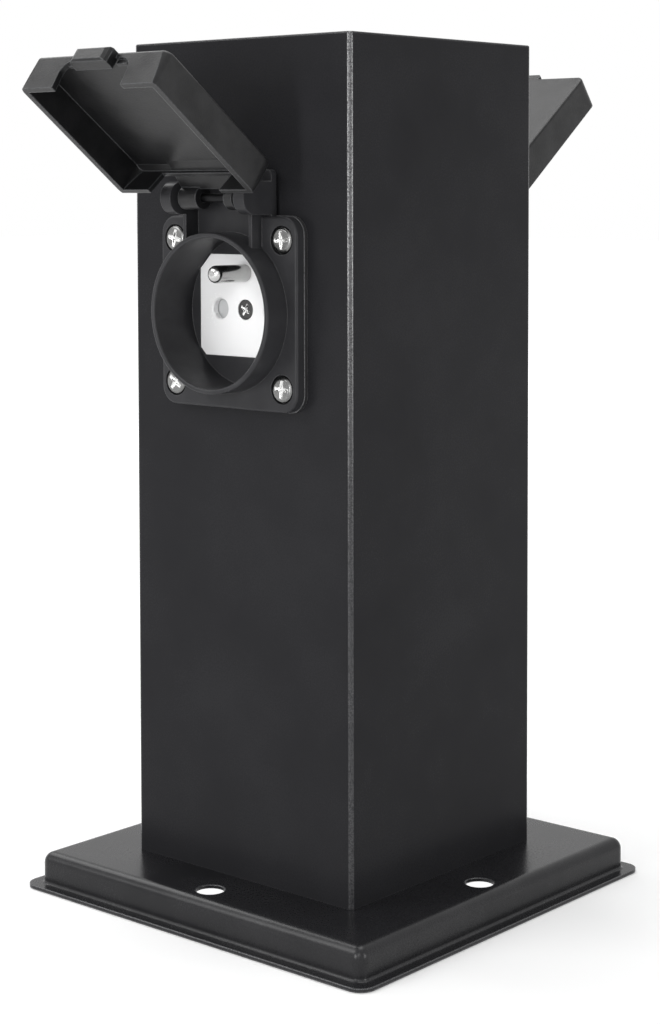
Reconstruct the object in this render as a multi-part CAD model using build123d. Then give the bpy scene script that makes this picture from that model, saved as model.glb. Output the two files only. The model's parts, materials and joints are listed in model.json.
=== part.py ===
# Garden socket: a square sheet-metal post on a pressed tray, with a lidded earth-pin socket front and rear.
# Millimetres, +Z up. The origin is the centre of the footprint on the ground. The front socket faces -Y.
from build123d import *
from math import pi, radians, tan
import os

# Post and top cap
total_height = 240.0
post_width = 80.0
post_sheet = 1.2
post_bend_radius = 1.5
post_top_radius = 0.5
cap_skirt_depth = 9.0
weld_gap = 0.05

# Folded tabs inside the post's foot, and the screws that hold them on the tray
tab_width = 20.0
tab_depth = 11.0
foot_screw_radius = 2.0
foot_head_radius = 3.6
foot_head_height = 2.2
foot_nut_across = 7.0
foot_nut_height = 3.2
thread_stick_out = 1.5

# Base tray
tray_width = 120.0
tray_height = 9.8
tray_sheet = 1.0
tray_corner_radius = 3.0
tray_top_radius = 3.0
lip_reach = 3.5
lip_corner_radius = 4.5
lip_root_radius = 0.8
fixing_circle = 104.0
fixing_hole_radius = 4.0

# Cable gland in the middle of the tray
gland_thread_radius = 8.0
gland_across = 20.0
gland_flange_height = 5.0
gland_reach = 8.0
gland_nut_height = 4.5
gland_wall = 1.6
gland_stop_lip = 1.0
cable_radius = 4.5

# Terminal block on its bracket
bracket_sheet = 1.2
bracket_height = 60.0
bracket_width = 38.0
bracket_foot_width = 8.0
bracket_foot_reach = 12.0
bracket_screw_radius = 1.5
bracket_notch_width = 20.0
bracket_notch_height = 6.0
block_length = 34.0
block_depth = 17.0
block_height = 20.0
block_top = 64.0
pole_pitch = 11.0
pole_insert_width = 7.0
pole_insert_length = 16.0
pole_bore_radius = 2.3
pole_screw_radius = 1.5
pole_screw_head_radius = 2.2
pole_screw_spacing = 8.0
small_head_radius = 2.7
small_head_height = 1.4
small_nut_across = 5.5
small_nut_height = 2.0

# Wires
wire_radius = 1.4
core_radius = 0.7
core_length = 6.0
wire_gap = 0.1
wire_start_run = 12.0
wire_end_run = 14.0
bend_share = 0.45
bond_first_drop = 8.0
bond_second_drop = 17.0
bond_second_place = (-4.0, -5.5)
bond_low_side = 10.5
bond_low_rise = 5.0
bond_last_run = 3.5

# Earth stud on the tray
stud_offset = 24.0
stud_radius = 2.5
stud_head_radius = 4.5
stud_head_height = 2.4
stud_nut_across = 8.0
stud_nut_height = 3.5
lug_ring_radius = 4.8
lug_sheet = 0.8
lug_barrel_radius = 2.0
lug_barrel_length = 5.0
lug_barrel_start = 4.5
lug_barrel_depth = 3.5
lug_core_length = 2.5

# Socket: place, flange and gasket
socket_height = 166.1
flange_width = 50.0
flange_height = 52.0
flange_corner_radius = 5.0
flange_thickness = 2.9
flange_edge_radius = 0.7
gasket_thickness = 1.3
gasket_margin = 0.2
screw_pitch = 39.5
frame_screw_radius = 1.75
frame_head_radius = 3.6
frame_head_height = 1.5
frame_recess_depth = 1.2
frame_recess_gap = 0.3
frame_nut_across = 6.0
frame_nut_height = 2.6

# Socket: collar, well and the skirt behind the panel
well_radius = 20.3
collar_wall = 1.4
collar_lip_radius = 0.5
well_mouth_chamfer = 0.3
collar_reach = 7.7
skirt_radius = 21.3
skirt_wall = 1.7
skirt_depth = 12.0
well_depth = 14.8
floor_thickness = 4.4
panel_clearance = 0.4

# Socket: white insert
insert_width = 33.8
insert_top = 15.4
insert_bottom = 12.5
insert_top_chamfer = 4.0
insert_bottom_chamfer = 2.0
insert_thickness = 2.0
ledge_width = 1.5
contact_spacing = 19.0
contact_rise = 0.4
contact_bore_radius = 2.75
contact_mouth_chamfer = 0.4
centre_screw_radius = 1.75
centre_head_radius = 2.7
centre_head_height = 1.3
earth_pin_rise = 10.0
earth_pin_radius = 2.4
earth_shank_radius = 2.0
earth_root_chamfer = 0.2
earth_pin_reach = 13.2
earth_tip_radius = 1.8

# Socket: shutter, its spring and the contact base
shutter_thickness = 2.0
shutter_gap = 0.3
shutter_hub_radius = 4.2
shutter_boss_radius = 2.7
shutter_lobe_radius = 3.5
shutter_arm_width = 4.0
spring_coil_radius = 5.2
spring_wire_radius = 0.25
spring_turns = 3
spring_pitch = 0.6
spring_pocket_depth = 2.4
spring_leg_angle = 30.0
spring_foot_depth = 1.6
base_flange_clearance = 0.1
base_half_width = 15.0
base_half_height = 14.0
base_depth = 24.0
base_corner_radius = 2.0
sleeve_wall = 0.65
sleeve_bore_radius = 2.45
sleeve_start_gap = 0.4
sleeve_slot_width = 0.6
cage_width = 6.4
cage_bottom_wall = 1.5
cage_height = 9.0
cage_depth = 6.5
cage_recess = 1.0
earth_strap_sheet = 1.4
strap_overlap = 1.0
wire_entry_inset = 3.3
wire_bore_radius = 1.2
terminal_screw_radius = 1.5
terminal_head_radius = 2.2

# Hinge and lid
hinge_rise = 30.9
hinge_reach = 9.8
hinge_pin_radius = 1.2
hinge_running_gap = 0.05
ear_radius = 4.4
ear_inner = 11.6
ear_thickness = 3.8
ear_rib_thickness = 1.1
ear_rib_reach = 3.9
ear_rib_bottom = 17.0
pin_cover = 1.0
hinge_tab_top = 38.4
hinge_tab_thickness = 2.0
hinge_tab_corner_radius = 1.5
knuckle_radius = 3.2
left_knuckle = (-9.9, -3.3)
right_knuckle = (6.9, 9.9)
strap_half_width = 10.2
strap_thickness = 2.0
strap_end = 2.3
strap_root = 5.0
strap_crown_drop = 0.3
web_overlap = 0.5
stop_gap = 0.3
stop_width = 2.2
lid_half_width = 24.5
lid_wall = 1.8
lid_free_end = 23.3
lid_free_draft = 0.9
lid_hinge_end = 24.3
lid_hinge_draft = 2.2
lid_crown_free = 14.8
lid_crown_hinge = 15.2
lid_crown_chamfer = 1.8
lid_rim_gap = 0.6
lid_free_corner_radius = 2.7
lid_hinge_corner_radius = 4.0
lid_edge_radius = 0.8
lid_rib_clearance = 0.4
scoop_half_width = 12.5
scoop_height = 8.2
scoop_radius = 4.0
finger_width = 13.4
finger_reach = 3.0
finger_thickness = 4.4
finger_chamfer = 1.2
nib_inner = 7.0
nib_width = 3.6
nib_drop = 1.4
nib_thickness = 1.0
nib_root = 0.5
lid_open_angle = 127.15

# Fits and recesses used all over
slide_gap = 0.1
bolt_gap = 0.2
pin_gap = 0.03
cross_width = 0.75
cross_depth = 0.9
cross_reach_share = 0.57
dome_share = 0.7
edge_search = 0.01

tray_top = tray_height
post_half = post_width / 2
post_inner_half = post_half - post_sheet
collar_radius = well_radius + collar_wall
panel_hole_radius = max(skirt_radius, collar_radius) + panel_clearance
flange_front = gasket_thickness + flange_thickness
screw_seat = flange_front - frame_recess_depth
collar_front = flange_front + collar_reach
well_floor = collar_front - well_depth
insert_back = well_floor - insert_thickness
floor_back = well_floor - floor_thickness
shutter_front = insert_back - shutter_gap
shutter_back = shutter_front - shutter_thickness
cavity_back = shutter_back - shutter_gap
cage_back = base_depth - cage_recess
cage_front = cage_back - cage_depth
wire_entry_depth = cage_back - wire_entry_inset
block_bottom = block_top - block_height
socket_bottom = socket_height - base_half_height
frame_screw_places = [(sx * screw_pitch / 2, sy * screw_pitch / 2) for sx in (-1, 1) for sy in (-1, 1)]
foot_screw_distance = post_inner_half - tab_depth / 2
foot_screw_places = [(foot_screw_distance, 0), (-foot_screw_distance, 0), (0, foot_screw_distance),
                     (0, -foot_screw_distance)]
bracket_back = block_depth / 2
bracket_foot_x = (bracket_width - bracket_foot_width) / 2
bracket_foot_y = bracket_back + bracket_sheet + bracket_foot_reach / 2
bracket_screw_places = [(-bracket_foot_x, bracket_foot_y), (bracket_foot_x, bracket_foot_y)]
block_screw_places = [-pole_pitch / 2, pole_pitch / 2]
pole_places = [-pole_pitch, 0.0, pole_pitch]
contact_places = [-contact_spacing / 2, contact_spacing / 2]
terminal_places = [-contact_spacing / 2, 0.0, contact_spacing / 2]
stud_place = (-stud_offset, -stud_offset)

# Each socket is drawn with x along the panel, y up and z outward from the panel's face
front_plane = Plane(origin=(0, -post_half, socket_height), x_dir=(1, 0, 0), z_dir=(0, -1, 0))
rear_plane = Plane(origin=(0, post_half, socket_height), x_dir=(-1, 0, 0), z_dir=(0, 1, 0))


def block(x0, x1, y0, y1, z0, z1):
    """A box between two corners."""
    return Pos((x0 + x1) / 2, (y0 + y1) / 2, (z0 + z1) / 2) * Box(abs(x1 - x0), abs(y1 - y0), abs(z1 - z0))


def rod(radius, x, y, z0, z1):
    """A round bar along Z."""
    return Pos(x, y, (z0 + z1) / 2) * Cylinder(radius, abs(z1 - z0))


def rod_along_x(radius, x0, x1, y, z):
    """A round bar along X."""
    return Pos((x0 + x1) / 2, y, z) * Rot(0, 90, 0) * Cylinder(radius, abs(x1 - x0))


def rod_along_y(radius, x, y0, y1, z):
    """A round bar along Y."""
    return Pos(x, (y0 + y1) / 2, z) * Rot(90, 0, 0) * Cylinder(radius, abs(y1 - y0))


def rounded_slab(width, height, corner, z0, z1):
    """A plate with rounded corners, centred on the Z axis."""
    return Pos(0, 0, z0) * extrude(RectangleRounded(width, height, corner), z1 - z0)


def side_profile(points, x0, x1):
    """A solid of constant section along X, from (y, z) points."""
    face = make_face(Polyline(*[(0, y, z) for y, z in points], close=True))
    solid = extrude(face, x1 - x0, dir=(1, 0, 0))
    return Pos(x0, 0, 0) * solid


def hex_prism(across, x, y, z0, z1):
    """A six-sided bar along Z."""
    return Pos(x, y, z0) * extrude(RegularPolygon(across / 2, 6, major_radius=False), z1 - z0)


def hex_nut(across, bore, x, y, z0, z1):
    """A hexagon nut on a vertical thread."""
    return hex_prism(across, x, y, z0, z1) - rod(bore, x, y, z0 - 1, z1 + 1)


def cross_recess(x, y, z, reach):
    """The cross of a screw head whose top is at height z."""
    bars = Box(2 * reach, cross_width, 2 * cross_depth) + Box(cross_width, 2 * reach, 2 * cross_depth)
    return Pos(x, y, z) * bars


def pan_screw(head_radius, head_height, shank_radius, x, y, seat, tip):
    """A domed cross-head screw that points down from its seat."""
    top = seat + head_height
    head = rod(head_radius, x, y, seat, top)
    head = fillet(head.edges().group_by(Axis.Z)[-1], dome_share * head_height)
    head -= cross_recess(x, y, top, cross_reach_share * head_radius)
    return head + rod(shank_radius, x, y, tip, seat)


def flat_screw(head_radius, head_height, shank_radius, x, y, seat, tip):
    """A flat cross-head screw that points down from its seat."""
    top = seat + head_height
    head = rod(head_radius, x, y, seat, top) - cross_recess(x, y, top, cross_reach_share * head_radius)
    return head + rod(shank_radius, x, y, tip, seat)


def bent_path(points):
    """A centre line of straight runs joined by arcs as large as the runs allow."""
    places = [Vector(*p) for p in points]
    radii = []
    for before, corner, after in zip(places, places[1:], places[2:]):
        turn = radians((corner - before).get_angle(after - corner))
        shorter = min((corner - before).length, (after - corner).length)
        radii.append(bend_share * shorter / tan(turn / 2))
    return FilletPolyline(*places, radius=radii), radii


def insulated_wire(name, points, bare_start, bare_end):
    """An insulated wire along a route, with a bare core past each end."""
    path, radii = bent_path(points)
    start = Vector(*points[0])
    away = (start - Vector(*points[1])).normalized()
    finish = Vector(*points[-1])
    onward = (finish - Vector(*points[-2])).normalized()
    tube = sweep(Plane(origin=start, z_dir=away * -1) * Circle(wire_radius), path=path)
    expected = pi * wire_radius ** 2 * path.length
    print(name, "bend radii", [round(r, 1) for r in radii], "volume share", round(tube.volume / expected, 3))
    first_core = Plane(origin=start, z_dir=away) * extrude(Circle(core_radius), bare_start)
    last_core = Plane(origin=finish, z_dir=onward) * extrude(Circle(core_radius), bare_end)
    return tube + first_core + last_core


def make_post_shell():
    """Square tube bent from sheet, with tabs at the foot and openings for both sockets."""
    height = total_height - tray_top
    shell = extrude(RectangleRounded(post_width, post_width, post_bend_radius), height)
    shell = fillet(shell.edges().group_by(Axis.Z)[-1], post_top_radius)
    inner_radius = post_bend_radius - post_sheet
    shell -= extrude(RectangleRounded(2 * post_inner_half, 2 * post_inner_half, inner_radius), height)
    for turn in (0, 90, 180, 270):
        tab = block(post_inner_half - tab_depth, post_inner_half + post_sheet / 2, -tab_width / 2,
                    tab_width / 2, 0, post_sheet)
        tab -= rod(foot_screw_radius + bolt_gap, foot_screw_distance, 0, -1, post_sheet + 1)
        shell += Rot(0, 0, turn) * tab
    shell = Pos(0, 0, tray_top) * shell
    for plane in (front_plane, rear_plane):
        cut = rod(panel_hole_radius, 0, 0, -2 * post_sheet, post_sheet)
        for x, y in frame_screw_places:
            cut += rod(frame_screw_radius + bolt_gap, x, y, -2 * post_sheet, post_sheet)
        shell -= plane * cut
    return shell


def make_top_cap():
    """Cap plate let into the top of the post, with a turned-down skirt."""
    width = 2 * (post_inner_half - weld_gap)
    corner = post_bend_radius - post_sheet
    cap = rounded_slab(width, width, corner, total_height - cap_skirt_depth, total_height)
    inside = width - 2 * post_sheet
    return cap - block(-inside / 2, inside / 2, -inside / 2, inside / 2, 0, total_height - post_sheet)


def make_base_tray():
    """Pressed tray with a flat lip, fixing holes, and holes for all that is fastened on it."""
    tray = extrude(RectangleRounded(tray_width, tray_width, tray_corner_radius), tray_height)
    tray = fillet(tray.edges().group_by(Axis.Z)[-1], tray_top_radius)
    lip_width = tray_width + 2 * lip_reach
    lip = extrude(RectangleRounded(lip_width, lip_width, lip_corner_radius), tray_sheet)
    tray += lip
    root = tray.edges().filter_by_position(Axis.Z, tray_sheet - edge_search, tray_sheet + edge_search)
    reach = tray_width / 2 + edge_search
    root = [e for e in root if max(abs(e.center().X), abs(e.center().Y)) < reach]
    tray = fillet(root, lip_root_radius)
    inside = tray_width - 2 * tray_sheet
    inner_top = tray_height - tray_sheet
    hollow = extrude(RectangleRounded(inside, inside, tray_corner_radius - tray_sheet), inner_top)
    hollow = fillet(hollow.edges().group_by(Axis.Z)[-1], tray_top_radius - tray_sheet)
    tray -= hollow
    for turn in (0, 90, 180, 270):
        tray -= Rot(0, 0, turn) * rod(fixing_hole_radius, fixing_circle / 2, 0, 0, 2 * tray_height)
    for x, y in foot_screw_places:
        tray -= rod(foot_screw_radius + bolt_gap, x, y, 0, 2 * tray_height)
    for x, y in bracket_screw_places:
        tray -= rod(bracket_screw_radius + bolt_gap, x, y, 0, 2 * tray_height)
    tray -= rod(gland_thread_radius + bolt_gap, 0, 0, 0, 2 * tray_height)
    tray -= rod(stud_radius + bolt_gap, *stud_place, 0, 2 * tray_height)
    return tray


def make_foot_screws():
    """Four screws from under the tray up through the post's tabs."""
    under = tray_height - tray_sheet
    tip = tray_top + post_sheet + foot_nut_height + thread_stick_out
    screws = []
    for x, y in foot_screw_places:
        screw = flat_screw(foot_head_radius, foot_head_height, foot_screw_radius, 0, 0, -under, -tip)
        screws.append(Pos(x, y, 0) * Rot(180, 0, 0) * screw)
    return screws


def make_foot_nuts():
    """Four nuts on the post's tabs."""
    seat = tray_top + post_sheet
    return [hex_nut(foot_nut_across, foot_screw_radius + pin_gap, x, y, seat, seat + foot_nut_height)
            for x, y in foot_screw_places]


def make_gland():
    """Cable gland: hexagon under the tray, threaded neck through it, a seal inside and a locknut on top."""
    under = tray_height - tray_sheet
    bottom = under - gland_flange_height
    top = tray_top + gland_reach
    seal_radius = gland_thread_radius - gland_wall
    body = hex_prism(gland_across, 0, 0, bottom, under) + rod(gland_thread_radius, 0, 0, bottom, top)
    body -= rod(seal_radius, 0, 0, bottom - 1, top - gland_stop_lip)
    body -= rod(cable_radius + gland_stop_lip / 2, 0, 0, bottom, top + 1)
    seal = rod(seal_radius - slide_gap, 0, 0, bottom, top - gland_stop_lip)
    seal -= rod(cable_radius, 0, 0, bottom - 1, top)
    locknut = hex_nut(gland_across, gland_thread_radius + slide_gap, 0, 0, tray_top,
                      tray_top + gland_nut_height)
    return body, seal, locknut


def make_terminal_bracket():
    """Upright plate with two feet that carries the terminal block."""
    plate = block(-bracket_width / 2, bracket_width / 2, bracket_back, bracket_back + bracket_sheet, tray_top,
                  tray_top + bracket_height)
    notch = bracket_notch_width / 2
    plate -= block(-notch, notch, bracket_back - 1, bracket_back + 2 * bracket_sheet, tray_top,
                   tray_top + bracket_notch_height)
    for x, y in bracket_screw_places:
        foot = block(x - bracket_foot_width / 2, x + bracket_foot_width / 2, bracket_back,
                     y + bracket_foot_reach / 2, tray_top, tray_top + bracket_sheet)
        plate += foot - rod(bracket_screw_radius + bolt_gap, x, y, 0, 2 * tray_top)
    middle = block_top - block_height / 2
    for x in block_screw_places:
        plate -= rod_along_y(bracket_screw_radius + bolt_gap, x, bracket_back - 1,
                             bracket_back + 2 * bracket_sheet, middle)
    return plate


def make_bracket_fasteners():
    """Two screws from under the tray into the bracket's feet, and their nuts."""
    under = tray_height - tray_sheet
    seat = tray_top + bracket_sheet
    tip = seat + small_nut_height + thread_stick_out
    screws = []
    nuts = []
    for x, y in bracket_screw_places:
        screw = flat_screw(small_head_radius, small_head_height, bracket_screw_radius, 0, 0, -under, -tip)
        screws.append(Pos(x, y, 0) * Rot(180, 0, 0) * screw)
        nuts.append(hex_nut(small_nut_across, bracket_screw_radius + pin_gap, x, y, seat,
                            seat + small_nut_height))
    return screws, nuts


def make_terminal_block():
    """Three-pole block: moulded body, brass inserts and clamping screws, and what holds it."""
    middle = block_top - block_height / 2
    front = -block_depth / 2
    body = block(-block_length / 2, block_length / 2, front, -front, block_bottom, block_top)
    inserts = []
    clamps = []
    half = pole_insert_width / 2
    pocket = half + slide_gap
    for x in pole_places:
        insert = block(x - half, x + half, -half, half, middle - pole_insert_length / 2,
                       middle + pole_insert_length / 2)
        insert -= rod(pole_bore_radius, x, 0, block_bottom - 1, block_top + 1)
        body -= block(x - pocket, x + pocket, -pocket, pocket, middle - pole_insert_length / 2 - slide_gap,
                      middle + pole_insert_length / 2 + slide_gap)
        body -= rod(pole_bore_radius + wire_gap + core_radius, x, 0, block_bottom - 1, block_top + 1)
        for z in (middle - pole_screw_spacing / 2, middle + pole_screw_spacing / 2):
            head_seat = front + 2 * small_head_height
            tip = -pole_bore_radius
            body -= rod_along_y(pole_screw_head_radius + bolt_gap, x, front - 1, -half, z)
            insert -= rod_along_y(pole_screw_radius + pin_gap, x, -half - 1, 0, z)
            clamp = rod_along_y(pole_screw_radius, x, head_seat, tip, z)
            clamp += rod_along_y(pole_screw_head_radius, x, head_seat - small_head_height, head_seat, z)
            clamp -= block(x - pole_screw_head_radius, x + pole_screw_head_radius,
                           head_seat - small_head_height, head_seat - small_head_height / 2,
                           z - cross_width / 2, z + cross_width / 2)
            clamps.append(clamp)
        inserts.append(insert)
    screws = []
    nuts = []
    back = bracket_back + bracket_sheet
    seat = front + small_head_height
    for x in block_screw_places:
        body -= rod_along_y(bracket_screw_radius + bolt_gap, x, front - 1, -front + 1, middle)
        body -= rod_along_y(small_head_radius + bolt_gap, x, front - 1, seat, middle)
        head = rod_along_y(small_head_radius, x, front, seat, middle)
        head -= block(x - small_head_radius, x + small_head_radius, front, front + small_head_height / 2,
                      middle - cross_width / 2, middle + cross_width / 2)
        tip = back + small_nut_height + thread_stick_out
        screws.append(head + rod_along_y(bracket_screw_radius, x, seat, tip, middle))
        nut = hex_nut(small_nut_across, bracket_screw_radius + pin_gap, 0, 0, 0, small_nut_height)
        nuts.append(Pos(x, back, middle) * Rot(-90, 0, 0) * nut)
    return body, inserts, clamps, screws, nuts


def make_earth_stud():
    """Stud through the tray with its nut, over the ring of the earth wire's lug."""
    under = tray_height - tray_sheet
    x, y = stud_place
    lug_top = tray_top + lug_sheet
    tip = lug_top + stud_nut_height + thread_stick_out
    stud = rod(stud_head_radius, x, y, under - stud_head_height, under)
    stud += rod(stud_radius, x, y, under, tip)
    nut = hex_nut(stud_nut_across, stud_radius + pin_gap, x, y, lug_top, lug_top + stud_nut_height)
    return stud, nut


def make_earth_bond():
    """Wire from the earth pole of the terminal block to a ring lug on the stud."""
    level = tray_top + lug_barrel_radius
    barrel_end = lug_barrel_start + lug_barrel_length
    end = stud_offset - barrel_end / 2 ** 0.5
    before_end = end - bond_last_run
    first = (0, -wire_radius - wire_gap / 2)
    route = [(*first, block_bottom - slide_gap), (*first, block_bottom - bond_first_drop),
             (*bond_second_place, block_bottom - bond_second_drop),
             (-bond_low_side, -bond_low_side, level + bond_low_rise), (-before_end, -before_end, level),
             (-end, -end, level)]
    wire = insulated_wire("earth_bond_wire", route, core_length, lug_core_length)
    lug = rod(lug_ring_radius, 0, 0, 0, lug_sheet)
    lug += block(0, lug_barrel_start + 1, -lug_barrel_radius, lug_barrel_radius, 0, lug_sheet)
    lug -= rod(stud_radius + slide_gap, 0, 0, -1, lug_sheet + 1)
    barrel = rod_along_x(lug_barrel_radius, lug_barrel_start, barrel_end, 0, lug_barrel_radius)
    barrel -= rod_along_x(core_radius + slide_gap, barrel_end - lug_barrel_depth, barrel_end + 1, 0,
                          lug_barrel_radius)
    lug += barrel
    return wire, Pos(*stud_place, tray_top) * Rot(0, 0, 45) * lug


def make_gasket():
    """Rubber gasket between the panel and the flange."""
    gasket = rounded_slab(flange_width + 2 * gasket_margin, flange_height + 2 * gasket_margin,
                          flange_corner_radius + gasket_margin, 0, gasket_thickness)
    gasket -= rod(skirt_radius + slide_gap, 0, 0, -1, gasket_thickness + 1)
    for x, y in frame_screw_places:
        gasket -= rod(frame_screw_radius + bolt_gap, x, y, -1, gasket_thickness + 1)
    return gasket


def insert_outline(margin):
    """Outline of the white insert, grown or shrunk by a margin."""
    half = insert_width / 2 + margin
    top = insert_top + margin
    bottom = -insert_bottom - margin
    a = insert_top_chamfer
    b = insert_bottom_chamfer
    points = [(-half, bottom + b), (-half + b, bottom), (half - b, bottom), (half, bottom + b),
              (half, top - a), (half - a, top), (-half + a, top), (-half, top - a)]
    return make_face(Polyline(*points, close=True))


def make_socket_frame():
    """Moulded frame: flange, round collar and well, skirt behind the panel, and the hinge ears."""
    frame = rounded_slab(flange_width, flange_height, flange_corner_radius, gasket_thickness, flange_front)
    frame = fillet(frame.edges().group_by(Axis.Z)[-1], flange_edge_radius)
    outer = ear_inner + ear_thickness
    tab_front = gasket_thickness + hinge_tab_thickness
    frame -= block(-ear_inner, ear_inner, ear_rib_bottom, flange_height / 2 + 1, tab_front, flange_front + 1)
    tab = block(-outer, outer, ear_rib_bottom, hinge_tab_top, gasket_thickness, tab_front)
    upper_edges = [e for e in tab.edges().filter_by(Axis.Z) if e.center().Y > hinge_rise]
    frame += fillet(upper_edges, hinge_tab_corner_radius)
    collar = rod(collar_radius, 0, 0, gasket_thickness, collar_front)
    frame += fillet(collar.edges().group_by(Axis.Z)[-1], collar_lip_radius)
    for side in (-1, 1):
        inner = side * ear_inner
        ear = rod_along_x(ear_radius, inner, side * outer, hinge_rise, hinge_reach)
        ear += block(inner, side * outer, hinge_rise - ear_radius, hinge_rise + ear_radius,
                     gasket_thickness, hinge_reach)
        ear += block(inner, side * (ear_inner + ear_rib_thickness), ear_rib_bottom,
                     hinge_rise - ear_radius / 2, gasket_thickness, flange_front + ear_rib_reach)
        frame += ear
    frame += rod(skirt_radius, 0, 0, -skirt_depth, gasket_thickness)
    frame -= rod(well_radius, 0, 0, well_floor, collar_front + 1)
    mouth = Cone(well_radius, well_radius + 2 * well_mouth_chamfer, 2 * well_mouth_chamfer)
    frame -= Pos(0, 0, collar_front) * mouth
    frame -= rod(skirt_radius - skirt_wall, 0, 0, -skirt_depth - 1, floor_back)
    frame -= Pos(0, 0, insert_back) * extrude(insert_outline(slide_gap), insert_thickness + 1)
    frame -= Pos(0, 0, floor_back - 1) * extrude(insert_outline(-ledge_width), floor_thickness + 1)
    for x, y in frame_screw_places:
        frame -= rod(frame_screw_radius + bolt_gap, x, y, 0, flange_front + 1)
        frame -= rod(frame_head_radius + frame_recess_gap, x, y, screw_seat, flange_front + 1)
    frame -= rod_along_x(hinge_pin_radius + pin_gap, -outer - 1, outer - pin_cover, hinge_rise, hinge_reach)
    return frame


def make_hinge_pin():
    """Steel pin pressed into the ears, with the lid's knuckles running on it."""
    outer = ear_inner + ear_thickness
    return rod_along_x(hinge_pin_radius, -outer, outer - pin_cover - slide_gap, hinge_rise, hinge_reach)


def lid_section(wall):
    """Side outline of the lid, drawn in by a wall thickness, as (y, z) points with the lid shut."""
    rim = flange_front + lid_rim_gap - wall
    free = -lid_free_end + wall
    hinge = lid_hinge_end - wall
    return [(free + lid_free_draft, rim), (free, lid_crown_free - wall),
            (hinge - lid_crown_chamfer, lid_crown_hinge - wall),
            (hinge, lid_crown_hinge - lid_crown_chamfer / 2 - wall), (hinge - lid_hinge_draft, rim)]


def lid_block(wall):
    """The lid's outer shape, or the shape of its inside, with the lid shut."""
    half = lid_half_width - wall
    section = side_profile(lid_section(wall), -half, half)
    plan = block(-half, half, -lid_free_end + wall, lid_hinge_end - wall, -lid_crown_free,
                 2 * lid_crown_free)
    corners = plan.edges().filter_by(Axis.Z)
    plan = fillet(corners.filter_by(lambda e: e.center().Y < 0), lid_free_corner_radius - wall)
    corners = plan.edges().filter_by(Axis.Z).group_by(Axis.Y)[-1]
    plan = fillet(corners, lid_hinge_corner_radius - wall)
    return section & plan


def make_lid():
    """Moulded lid in its shut place: crown, skirt, scoop, finger tab, catch nibs, strap and knuckles."""
    shell = lid_block(0)
    crown = shell.faces().filter_by(lambda f: f.normal_at().Z > 0.9).sort_by(SortBy.AREA)[-1]
    shell = fillet(crown.edges(), lid_edge_radius)
    shell -= lid_block(lid_wall)
    rim = flange_front + lid_rim_gap
    scoop_top = rim + scoop_height
    scoop = block(-scoop_half_width, scoop_half_width, -lid_free_end - 1, 0, rim - scoop_height, scoop_top)
    scoop = fillet(scoop.edges().filter_by(Axis.Y), scoop_radius)
    scoop &= block(-lid_half_width, lid_half_width, -lid_free_end - 1, -lid_free_end + 2 * lid_wall, 0,
                   scoop_top)
    shell -= scoop
    passage = ear_inner + ear_rib_thickness + lid_rib_clearance
    crown_inside = lid_crown_hinge - lid_wall
    shell -= block(-passage, passage, hinge_rise / 2, lid_hinge_end + 1, 0, crown_inside - lid_crown_chamfer)
    tab_top = lid_crown_free - lid_edge_radius / 2
    finger = block(-finger_width / 2, finger_width / 2, -lid_free_end - finger_reach,
                   -lid_free_end + lid_wall / 2, tab_top - finger_thickness, tab_top)
    finger = chamfer(finger.edges().filter_by(Axis.Z).group_by(Axis.Y)[0], finger_chamfer)
    finger = chamfer(finger.edges().group_by(Axis.Y)[0], finger_chamfer / 2)
    shell += finger
    for side in (-1, 1):
        nib_face = -lid_free_end + lid_free_draft
        shell += block(side * nib_inner, side * (nib_inner + nib_width), nib_face, nib_face + nib_thickness,
                       scoop_top - nib_drop, scoop_top + nib_root)
    outside = hinge_reach + knuckle_radius
    strap_top = lid_crown_hinge - strap_crown_drop
    root = lid_hinge_end - strap_root
    plate = [(root, lid_crown_hinge - lid_wall), (root, strap_top),
             (lid_hinge_end - lid_crown_chamfer, strap_top), (hinge_rise - strap_end, outside),
             (hinge_rise - strap_end, outside - strap_thickness)]
    shell += side_profile(plate, -strap_half_width, strap_half_width)
    web_start = hinge_rise - strap_end - web_overlap
    web = [(web_start, outside), (hinge_rise, outside), (hinge_rise, hinge_reach),
           (web_start, outside - strap_thickness)]
    for start, end in (left_knuckle, right_knuckle):
        shell += rod_along_x(knuckle_radius, start, end, hinge_rise, hinge_reach)
        shell += side_profile(web, start, end)
    heel_reach = hinge_reach - gasket_thickness - hinge_tab_thickness - stop_gap
    heel = block(0, stop_width, 0, heel_reach, -stop_width / 2, stop_width / 2)
    for start, end in (left_knuckle, right_knuckle):
        middle = (start + end - stop_width) / 2
        shell += Pos(middle, hinge_rise, hinge_reach) * Rot(lid_open_angle - 90, 0, 0) * heel
    shell -= rod_along_x(hinge_pin_radius + hinge_running_gap, -lid_half_width, lid_half_width, hinge_rise,
                         hinge_reach)
    return shell


def open_lid(lid):
    """Swings the lid from its shut place to the open one."""
    hinge = Pos(0, hinge_rise, hinge_reach)
    return hinge * Rot(-lid_open_angle, 0, 0) * hinge.inverse() * lid


def make_insert():
    """White insert with two contact mouths and holes for the earth pin and the centre screw."""
    insert = Pos(0, 0, insert_back) * extrude(insert_outline(0), insert_thickness)
    for x in contact_places:
        insert -= rod(contact_bore_radius, x, contact_rise, insert_back - 1, well_floor + 1)
        mouth = insert.edges().filter_by(GeomType.CIRCLE).group_by(Axis.Z)[-1]
        mouth = mouth.filter_by(lambda e: abs(e.arc_center.X - x) < 0.1)
        insert = chamfer(mouth, contact_mouth_chamfer)
    insert -= rod(earth_shank_radius + slide_gap, 0, contact_rise + earth_pin_rise, insert_back - 1,
                  well_floor + 1)
    insert -= rod(centre_screw_radius + slide_gap, 0, contact_rise, insert_back - 1, well_floor + 1)
    insert -= rod(centre_head_radius + slide_gap, 0, contact_rise, well_floor - centre_head_height,
                  well_floor + 1)
    return insert


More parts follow.
